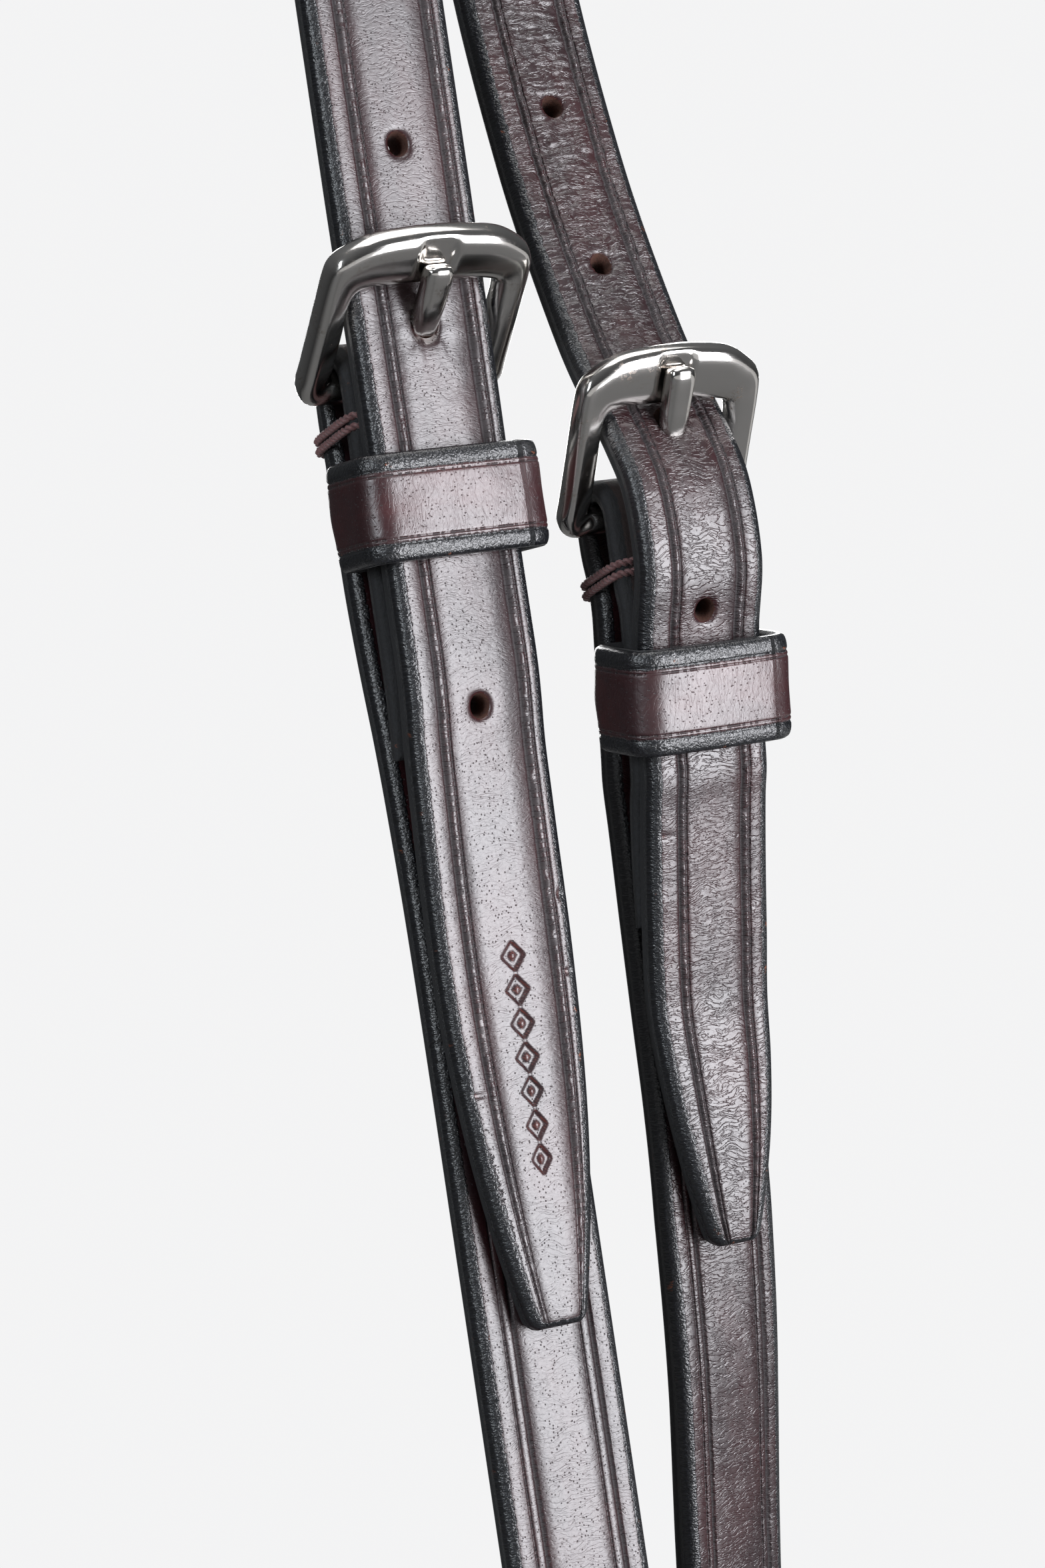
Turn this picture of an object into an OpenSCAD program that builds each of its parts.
// Leather reins of a double bridle: the wider bridoon rein and the narrower curb rein.
// Each rein is two straps fastened by a buckle. Grain faces -Y, straps hang along Z,
// and the origin is the centre of the bridoon rein's upper coil eye.

/* [Straps] */
// Width of the bridoon rein
bridoon_w = 16; // [15:0.5:17]
// Width of the curb rein's lower strap
curb_w = 13.7; // [13:0.1:14]
// Width of the curb rein's billet strap
curb_billet_w = 14.4; // [13.8:0.1:14.6]
// Thickness of the bridle leather
strap_t = 3.5; // [3:0.1:3.5]
// Thickness of the leather where it folds round a buckle bar
fold_t = 2.6; // [2.2:0.1:2.6]
// Thickness of the turnback behind the billet
turn_t = 2.8; // [2.4:0.1:2.8]
// Centre distance between the two reins
rein_gap = 25.2; // [25:0.2:30]

/* [Coils] */
// Radius of the eye in the middle of each coil
eye_r = 14; // [13:0.5:18]
// Length of strap wound into each coil
wound_length = 1195; // [900:5:1300]
// Radial room taken by one turn of strap
turn_pitch = 3.6; // [3.6:0.05:4]
// Hanging strap between the upper coil's centre and the datum above the buckles
upper_run = 58; // [50:1:80]
// Drop from the datum to the lower coil's centre
lower_drop = 222; // [215:1:240]

/* [Buckles] */
// Radius of the bridoon buckle's pivot bar
bridoon_bar_r = 1.75; // [1.6:0.05:1.75]
// Radius of the curb buckle's pivot bar
curb_bar_r = 1.6; // [1.5:0.05:1.6]
// Thickness of the bridoon buckle's cast frame
bridoon_plate_t = 3; // [2.6:0.1:3]
// Thickness of the curb buckle's cast frame
curb_plate_t = 2.6; // [2.4:0.1:2.6]
// Width of a frame's side bars
side_w = 3.2; // [2.8:0.1:3.4]
// Extra width of a front bar at its middle
crown = 1.8; // [1:0.1:2]
// Side clearance between a billet and its buckle frame
frame_gap = 0.4; // [0.4:0.1:0.6]
// Radial running clearance of a frame bar in its leather fold and tongue eye
bar_clear = 0.05; // [0.02:0.01:0.08]
// Width of a tongue
tongue_w = 3; // [2.4:0.1:3]
// Thickness of a tongue
tongue_t = 2.2; // [1.8:0.1:2.3]
// Depth of the seat that a front bar has for its tongue
notch = 0.5; // [0.3:0.1:0.6]
// Play of a frame and of a tongue while fastened, in degrees
rock = 4; // [2:1:4]

/* [Keepers] */
// Height of a keeper band
keeper_h = 11; // [9:0.5:11]
// Thickness of a keeper band
keeper_t = 2.2; // [1.8:0.1:2.2]

/* [Holes and thread] */
// Radius of a punched billet hole
hole_r = 2.2; // [1.8:0.1:2.4]
// Thickness of the waxed thread
thread_t = 0.9; // [0.6:0.1:0.9]
// Length of one stitch
stitch_l = 2.2; // [1.6:0.1:2.4]

/* [Hidden] */
$fn = 48;

half_t = strap_t / 2;
rub = 0.1;                 // gap left between two leather faces
coil_r = half_t + sqrt(wound_length * turn_pitch / PI + pow(eye_r + half_t, 2));
strap_line = coil_r - half_t;   // from a coil's centre to the middle of the strap that leaves it
spline_steps = 4;
tie_w = 4;
tie_t = 1.2;
stud_head_r = 4;
stud_stem_r = 1.2;
hide = "#3b1519";
edge_dye = "#1b1a20";
thread = "#5a2b2a";
steel = "#c9c7c2";

// A route lists [drop below the datum, depth behind the bridoon billet, thickness].
bridoon_billet_route = [
    [-upper_run, 0, strap_t], [-20, 0, strap_t], [20, 0, strap_t], [60, 0, strap_t],
    [68, 0, strap_t], [72, 0.3, strap_t], [77, 1, strap_t], [83, 1.35, strap_t],
    [90, 1.7, strap_t], [103, 2.1, strap_t], [120, 2.1, strap_t], [136.8, 2.1, strap_t]
];
bridoon_main_route = [
    [38.3, 9.35, fold_t], [42, 9.3, 3.1], [46, 8.9, strap_t], [50, 8.95, strap_t],
    [57.5, 8.95, strap_t], [62, 8.7, strap_t], [68, 8.1, strap_t], [75, 7.2, strap_t],
    [82, 6.6, strap_t], [93, 6, strap_t], [107, 5.75, strap_t], [125, 5.7, strap_t],
    [165, 5.7, strap_t], [lower_drop, 5.7, strap_t]
];
bridoon_turn_route = [
    [38.3, 3.15, fold_t], [42, 3.2, 2.7], [46, 3.25, turn_t], [57.5, 3.25, turn_t],
    [62, 3.25, turn_t], [68, 3.2, 2.7], [72, 3.4, 2.5], [77.1, 3.95, 2.2]
];
curb_billet_route = [
    [-upper_run, 19.5, strap_t], [-42, 19.3, strap_t], [-30, 18.4, strap_t], [-15, 16.7, strap_t],
    [0, 14.6, strap_t], [14, 11.4, strap_t], [24, 8.3, strap_t], [36, 3.4, strap_t],
    [42.5, -0.2, strap_t], [45, -1.7, strap_t], [48, -3.5, strap_t], [52, -5.5, strap_t],
    [56, -6.2, strap_t], [60, -6.2, strap_t], [63, -5.6, strap_t], [68, -3.5, strap_t],
    [72, -2.76, strap_t], [76, -2.04, strap_t], [80, -1.32, strap_t], [83, -0.78, strap_t],
    [86, 0.3, strap_t], [93, 2.3, strap_t], [100, 4.1, strap_t], [107, 5.7, strap_t],
    [114, 6.1, strap_t], [121, 6.55, strap_t], [128, 7.3, strap_t], [132.9, 7.9, strap_t]
];
curb_main_route = [
    [55.2, 5.85, fold_t], [58.5, 5.7, 3.1], [62, 5, strap_t], [65, 5.1, strap_t],
    [68, 5.62, strap_t], [72, 6.34, strap_t], [76, 7.06, strap_t], [80, 7.78, strap_t],
    [83, 8.32, strap_t], [88, 8.5, strap_t], [98, 9.05, strap_t], [108, 9.5, strap_t],
    [118, 9.9, strap_t], [128, 10.9, strap_t], [145, 13.6, strap_t], [165, 18.3, strap_t],
    [175, 20.3, strap_t], [185, 21.3, strap_t], [195, 21.5, strap_t], [lower_drop, 21.5, strap_t]
];
curb_turn_route = [
    [55.2, -0.05, fold_t], [58.5, 0, 2.7], [62, 0, turn_t], [65, -0.4, turn_t],
    [68, -0.1, turn_t], [72, 0.56, turn_t], [76, 1.26, turn_t], [80, 1.98, turn_t],
    [83, 2.6, 2.7], [86, 3.75, 2.5], [93, 5.36, 2.2], [98.1, 6.3, 1.6]
];
bridoon_holes = [15, 53.6, 72.6];
curb_holes = [10.4, 28.6, 65.6];

// [depth, drop] of each pivot bar and each front bar
bridoon_pivot = [6.25, 38.3];
bridoon_front = [-4.7, 27.8];
curb_pivot = [2.9, 55.2];
curb_front = [-5.4, 42.4];

// Drop of each keeper's middle and of the thread tacks above it
bridoon_keeper_drop = 51.9;
curb_keeper_drop = 74.3;
bridoon_tack_drop = 43.1;
curb_tack_drop = 61.5;
curb_keeper_tilt = atan(0.18);

bridoon_lower_depth = bridoon_main_route[len(bridoon_main_route) - 1][1];
curb_upper_depth = curb_billet_route[0][1];
curb_lower_depth = curb_main_route[len(curb_main_route) - 1][1];

// ---- routes and outlines ----
// Catmull-Rom point between p1 and p2
function blend_point(p0, p1, p2, p3, t) = 0.5 * (2 * p1 + (p2 - p0) * t
    + (2 * p0 - 5 * p1 + 4 * p2 - p3) * t * t + (3 * p1 - p0 - 3 * p2 + p3) * t * t * t);
function smooth(r) = let (last = len(r) - 1) concat(
    [for (i = [0:last - 1], s = [0:spline_steps - 1])
        blend_point(r[max(i - 1, 0)], r[i], r[i + 1], r[min(i + 2, last)], s / spline_steps)],
    [r[last]]);
function slope(r, i) = let (a = r[max(i - 1, 0)], b = r[min(i + 1, len(r) - 1)])
    (b[1] - a[1]) / (b[0] - a[0]);
// Point [depth, height] on the front (side -1) or back (side 1) face of a route
function face_point(r, i, side) =
    [r[i][1] + side * r[i][2] / 2 * sqrt(1 + pow(slope(r, i), 2)), -r[i][0]];
function side_outline(r) = concat(
    [for (i = [0:len(r) - 1]) face_point(r, i, -1)],
    [for (i = [len(r) - 1:-1:0]) face_point(r, i, 1)]);
// [drop, depth, thickness] of a smoothed route at a drop
function at_drop(r, drop) = let (k = [for (i = [0:len(r) - 2]) if (r[i + 1][0] >= drop) i][0])
    r[k] + (r[k + 1] - r[k]) * (drop - r[k][0]) / (r[k + 1][0] - r[k][0]);
function depth_at(r, drop) = at_drop(r, drop)[1];
// Half width of a tapered billet tip at a drop
function tip_half(w, end, start, drop, tip_drop) =
    end + (w / 2 - end) * (1 - pow(max(0, (drop - start) / (tip_drop - start)), 2.5));
function turned(p, a) = [p[0] * cos(a) - p[1] * sin(a), p[0] * sin(a) + p[1] * cos(a)];

// ---- helpers ----
module across(w) translate([-w / 2, 0, 0]) rotate([90, 0, 90]) linear_extrude(w) children();
module rod_x(r, l) rotate([0, 90, 0]) cylinder(r = r, h = l, center = true);
module at_rein(x) translate([x, -strap_line, -upper_run]) children();
module band(r, w) across(w) polygon(side_outline(smooth(r)));

// Prism over the front outline of a billet, with its long taper and blunt tip
module billet_outline(w, end, start, tip_drop) {
    drops = [for (i = [0:16]) start + (tip_drop - 1 - start) * i / 16];
    right = concat([[w / 2, upper_run]],
        [for (d = drops) [tip_half(w, end, start, d, tip_drop), -d]], [[end - 0.7, -tip_drop]]);
    left = [for (i = [len(right) - 1:-1:0]) [-right[i][0], right[i][1]]];
    translate([0, 40, 0]) rotate([90, 0, 0]) linear_extrude(80) polygon(concat(right, left));
}

module billet_hole(drop) translate([0, 20, -drop]) rotate([90, 0, 0]) cylinder(r = hole_r, h = 60);

// Moves to a pivot bar, with +Z along the frame towards its front bar and -Y outwards
module at_pivot(pivot, front) {
    lean = atan2(pivot[0] - front[0], pivot[1] - front[1]);
    translate([0, pivot[0], -pivot[1]]) rotate([lean, 0, 0]) children();
}
function frame_reach(pivot, front) = norm(pivot - front);

// ---- tongue: [outward, along] points, outward is -Y after at_pivot ----
// seat is the tongue's back face on the front bar; tip is its end along the frame
module tongue_shape(bar_r, reach, seat, tip) {
    eye = bar_r + bar_clear + 1.35;
    difference() {
        union() {
            rod_x(eye, tongue_w);
            across(tongue_w) polygon([
                [-0.3, 0], [seat * 0.75, reach * 0.6], [seat, reach - 2], [seat, tip],
                [seat - tongue_t * 0.55, tip], [seat - tongue_t, tip - 1.2],
                [seat - tongue_t, reach - 2], [seat * 0.75 - tongue_t, reach * 0.6], [-eye, 0]
            ]);
        }
        rod_x(bar_r + bar_clear, tongue_w + 1);
    }
}
// Passage that the tongue needs through the billet over its whole play
module tongue_passage(bar_r, reach, seat) {
    ease = 0.3;
    back = [[ease, 2], [seat * 0.75 + ease, reach * 0.6], [seat + ease, reach - 2]];
    front = [[seat - tongue_t - ease, reach - 2], [seat * 0.75 - tongue_t - ease, reach * 0.6],
        [-bar_r - 1.4 - ease, 2]];
    across(tongue_w + 1) polygon(concat(back, [for (p = front) turned(p, 2 * rock)]));
}
function seat_of(plate_t) = notch - 0.1 - plate_t / 2;

// ---- frame: flat cast plate with a crowned front bar and a true round pivot bar ----
module frame_outline(inner_x, reach) {
    outer_x = inner_x + side_w;
    corner = 2.4;
    shoulder = reach + 2.1;
    arc = [for (a = [0:15:75]) [outer_x - corner + corner * cos(a), shoulder - corner + corner * sin(a)]];
    top = [for (i = [8:-1:0]) [(outer_x - corner) * i / 8, shoulder + crown * (1 - pow(i / 8, 2))]];
    half = concat([[outer_x, 0]], arc, top);
    left = [for (i = [len(half) - 2:-1:0]) [-half[i][0], half[i][1]]];
    difference() {
        union() {
            polygon(concat(half, left));
            for (s = [-1, 1]) translate([s * (inner_x + side_w / 2), 0]) circle(r = side_w / 2);
        }
        translate([-inner_x, -side_w]) square([2 * inner_x, reach + side_w * 0.45]);
    }
}
module frame_shape(w, bar_r, plate_t, reach) {
    inner_x = w / 2 + frame_gap;
    difference() {
        union() {
            rod_x(bar_r, 2 * inner_x + side_w);
            translate([0, plate_t / 2, 0]) rotate([90, 0, 0]) linear_extrude(plate_t)
                frame_outline(inner_x, reach);
        }
        translate([-tongue_w / 2 - 0.3, -plate_t, reach - side_w])
            cube([tongue_w + 0.6, plate_t / 2 + notch, 3 * side_w]);
    }
}

// ---- buckle strap: main run, fold round the bar, turnback, slot for the tongue ----
module fold_shape(w, bar_r) {
    outer = bar_r + bar_clear + fold_t;
    difference() {
        rod_x(outer, w);
        rod_x(bar_r + bar_clear, w + 2);
        translate([-w, -outer - 1, -outer - 1]) cube([2 * w, 2 * outer + 2, outer + 1]);
    }
}
module buckle_strap(main, turn, w, pivot, bar_r, tack_drop) {
    difference() {
        union() {
            band(main, w);
            band(turn, w);
            translate([0, pivot[0], -pivot[1]]) fold_shape(w, bar_r);
        }
        translate([-tongue_w / 2 - 0.7, pivot[0] - 12, -pivot[1] - 4.5])
            cube([tongue_w + 1.4, 24, 12]);
        translate([0, pivot[0], -pivot[1]]) rod_x(bar_r + bar_clear, w + 2);
        tacks(main, turn, w, tack_drop, 0.05);
    }
}

// Depth of a keeper's middle, between the billet's grain and the turnback's back
function keeper_depth(billet, turn, drop, tilt) =
    (depth_at(smooth(billet), drop) + depth_at(smooth(turn), drop)
        + (turn_t - strap_t) / 2 / cos(tilt)) / 2;

// ---- keeper: a closed band round billet and turnback, its back wall under the turnback ----
module rounded_block(x, y, z, r) {
    cube([x - 2 * r, y, z], center = true);
    cube([x, y - 2 * r, z], center = true);
    for (sx = [-1, 1], sy = [-1, 1])
        translate([sx * (x / 2 - r), sy * (y / 2 - r), 0]) cylinder(r = r, h = z, center = true);
}
module keeper_shape(w) {
    inner_y = strap_t + turn_t + 3 * rub;
    difference() {
        rounded_block(w + 0.6 + 2 * keeper_t, inner_y + 2 * keeper_t, keeper_h, 2.6);
        cube([w + 0.6, inner_y, keeper_h + 1], center = true);
    }
}

// ---- two turns of thread round each edge, through both layers of the fold ----
module tacks(main, turn, w, drop, extra) {
    front_leaf = at_drop(smooth(turn), drop);
    back_leaf = at_drop(smooth(main), drop);
    front_y = front_leaf[1] - front_leaf[2] / 2;
    back_y = back_leaf[1] + back_leaf[2] / 2;
    loop_x = 3.2;
    for (s = [-1, 1], turn_z = [-0.6, 0.6]) translate([s * (w / 2 + 0.1), 0, turn_z - drop])
        difference() {
            translate([s > 0 ? -loop_x - extra : -thread_t - extra, front_y - extra,
                -thread_t / 2 - extra])
                cube([loop_x + thread_t + 2 * extra, back_y - front_y + thread_t + 2 * extra,
                    thread_t + 2 * extra]);
            translate([s > 0 ? -loop_x + thread_t + extra : extra, front_y + thread_t + extra, -2])
                cube([loop_x - thread_t - 2 * extra, back_y - front_y - thread_t - 2 * extra, 4]);
        }
}

// ---- saddle stitches that show on the back of the main strap ----
module stitch_rows(main, w, from_drop, to_drop) {
    route = smooth(main);
    spacing = stitch_l + 0.8;
    count = floor((to_drop - from_drop) / spacing);
    for (s = [-1, 1], i = [0:count - 1]) {
        drop = from_drop + spacing * (i + 0.5);
        lean = atan((depth_at(route, drop + 1) - depth_at(route, drop - 1)) / 2);
        back_y = depth_at(route, drop) + (half_t + thread_t / 2 + 0.05) / cos(lean);
        translate([s * (w / 2 - 2.6), back_y, -drop])
            rotate([lean, 0, 0]) cylinder(r = thread_t / 2, h = stitch_l, center = true, $fn = 16);
    }
}

// ---- coils; way is 1 for an upper coil, whose strap hangs down, and -1 for a lower one ----
module coil(w, way) {
    difference() {
        rod_x(coil_r, w);
        rod_x(eye_r, w + 2);
        translate([-w, -coil_r - 1, way > 0 ? -coil_r - 1 : 0])
            cube([2 * w, strap_t + rub + 1, coil_r + 1]);
        translate([-w, -tie_w / 2 - 0.2, way > 0 ? eye_r - 2 : -eye_r - tie_t - 0.4])
            cube([2 * w, tie_w + 0.4, tie_t + 2.4]);
        rotate([way > 0 ? 180 : 0, 0, 0]) {
            translate([0, 0, eye_r - 2]) cylinder(r = stud_head_r + 0.15, h = 3.4);
            cylinder(r = stud_stem_r + 0.05, h = eye_r + 6.6);
        }
    }
}
module tie(w, way) {
    inner_x = w + 2 * rub;
    low = eye_r + 0.3;
    high = coil_r + rub + tie_t;
    rotate([way > 0 ? 0 : 180, 0, 0]) {
        translate([0, 0, (low + high) / 2]) difference() {
            cube([inner_x + 2 * tie_t, tie_w, high - low], center = true);
            cube([inner_x, tie_w + 1, high - low - 2 * tie_t], center = true);
        }
        translate([0, 0, high + 1.2]) rod_x(1.7, 5);
    }
}
module hook_stud(way) rotate([way > 0 ? 180 : 0, 0, 0]) {
    translate([0, 0, eye_r + 0.2]) cylinder(r = stud_head_r, h = 1.1);
    translate([0, 0, eye_r + 0.2]) cylinder(r = stud_stem_r, h = 6.2);
}
module place_coil(x, y, way) translate([x, y, way > 0 ? 0 : -upper_run - lower_drop]) children();

// ---- bridoon rein ----
bridoon_reach = frame_reach(bridoon_pivot, bridoon_front);
bridoon_seat = seat_of(bridoon_plate_t);
module bridoon_billet() color(hide) at_rein(0) difference() {
    intersection() {
        band(bridoon_billet_route, bridoon_w);
        billet_outline(bridoon_w, 3.2, 90, 136.8);
    }
    for (d = bridoon_holes) billet_hole(d);
    at_pivot(bridoon_pivot, bridoon_front)
        tongue_passage(bridoon_bar_r, bridoon_reach, bridoon_seat);
}
module bridoon_buckle_strap() color(hide) at_rein(0)
    buckle_strap(bridoon_main_route, bridoon_turn_route, bridoon_w, bridoon_pivot,
        bridoon_bar_r, bridoon_tack_drop);
module bridoon_upper_coil() color(edge_dye) place_coil(0, 0, 1) coil(bridoon_w, 1);
module bridoon_lower_coil() color(edge_dye)
    place_coil(0, bridoon_lower_depth, -1) coil(bridoon_w, -1);
module bridoon_keeper() color(hide) at_rein(0) translate([0,
    keeper_depth(bridoon_billet_route, bridoon_turn_route, bridoon_keeper_drop, 0),
    -bridoon_keeper_drop]) keeper_shape(bridoon_w);
module bridoon_frame() color(steel) at_rein(0) at_pivot(bridoon_pivot, bridoon_front)
    frame_shape(bridoon_w, bridoon_bar_r, bridoon_plate_t, bridoon_reach);
module bridoon_tongue() color(steel) at_rein(0) at_pivot(bridoon_pivot, bridoon_front)
    tongue_shape(bridoon_bar_r, bridoon_reach, bridoon_seat, bridoon_reach + 1.1);
module bridoon_edge_tacks() color(thread) at_rein(0)
    tacks(bridoon_main_route, bridoon_turn_route, bridoon_w, bridoon_tack_drop, 0);
module bridoon_stitching() color(thread) at_rein(0)
    stitch_rows(bridoon_main_route, bridoon_w, 47, 77);
module bridoon_upper_tie() color(hide) place_coil(0, 0, 1) tie(bridoon_w, 1);
module bridoon_lower_tie() color(hide) place_coil(0, bridoon_lower_depth, -1) tie(bridoon_w, -1);
module bridoon_hook_studs() color(steel) {
    place_coil(0, 0, 1) hook_stud(1);
    place_coil(0, bridoon_lower_depth, -1) hook_stud(-1);
}

// ---- curb rein ----
curb_reach = frame_reach(curb_pivot, curb_front);
curb_seat = seat_of(curb_plate_t);
module curb_billet() color(hide) at_rein(rein_gap) difference() {
    intersection() {
        band(curb_billet_route, curb_billet_w);
        billet_outline(curb_billet_w, 2.8, 97, 132.9);
    }
    for (d = curb_holes) billet_hole(d);
    at_pivot(curb_pivot, curb_front) tongue_passage(curb_bar_r, curb_reach, curb_seat);
}
module curb_buckle_strap() color(hide) at_rein(rein_gap)
    buckle_strap(curb_main_route, curb_turn_route, curb_w, curb_pivot, curb_bar_r, curb_tack_drop);
module curb_upper_coil() color(edge_dye)
    place_coil(rein_gap, curb_upper_depth, 1) coil(curb_billet_w, 1);
module curb_lower_coil() color(edge_dye)
    place_coil(rein_gap, curb_lower_depth, -1) coil(curb_w, -1);
module curb_keeper() color(hide) at_rein(rein_gap) translate([0,
    keeper_depth(curb_billet_route, curb_turn_route, curb_keeper_drop, curb_keeper_tilt),
    -curb_keeper_drop]) rotate([curb_keeper_tilt, 0, 0]) keeper_shape(curb_billet_w);
module curb_frame() color(steel) at_rein(rein_gap) at_pivot(curb_pivot, curb_front)
    frame_shape(curb_billet_w, curb_bar_r, curb_plate_t, curb_reach);
module curb_tongue() color(steel) at_rein(rein_gap) at_pivot(curb_pivot, curb_front)
    tongue_shape(curb_bar_r, curb_reach, curb_seat, curb_reach + 2.6);
module curb_edge_tacks() color(thread) at_rein(rein_gap)
    tacks(curb_main_route, curb_turn_route, curb_w, curb_tack_drop, 0);
module curb_stitching() color(thread) at_rein(rein_gap)
    stitch_rows(curb_main_route, curb_w, 66, 96);
module curb_upper_tie() color(hide)
    place_coil(rein_gap, curb_upper_depth, 1) tie(curb_billet_w, 1);
module curb_lower_tie() color(hide) place_coil(rein_gap, curb_lower_depth, -1) tie(curb_w, -1);
module curb_hook_studs() color(steel) {
    place_coil(rein_gap, curb_upper_depth, 1) hook_stud(1);
    place_coil(rein_gap, curb_lower_depth, -1) hook_stud(-1);
}

bridoon_billet();
bridoon_buckle_strap();
bridoon_upper_coil();
bridoon_lower_coil();
bridoon_keeper();
bridoon_frame();
bridoon_tongue();
bridoon_edge_tacks();
bridoon_stitching();
bridoon_upper_tie();
bridoon_lower_tie();
bridoon_hook_studs();
curb_billet();
curb_buckle_strap();
curb_upper_coil();
curb_lower_coil();
curb_keeper();
curb_frame();
curb_tongue();
curb_edge_tacks();
curb_stitching();
curb_upper_tie();
curb_lower_tie();
curb_hook_studs();
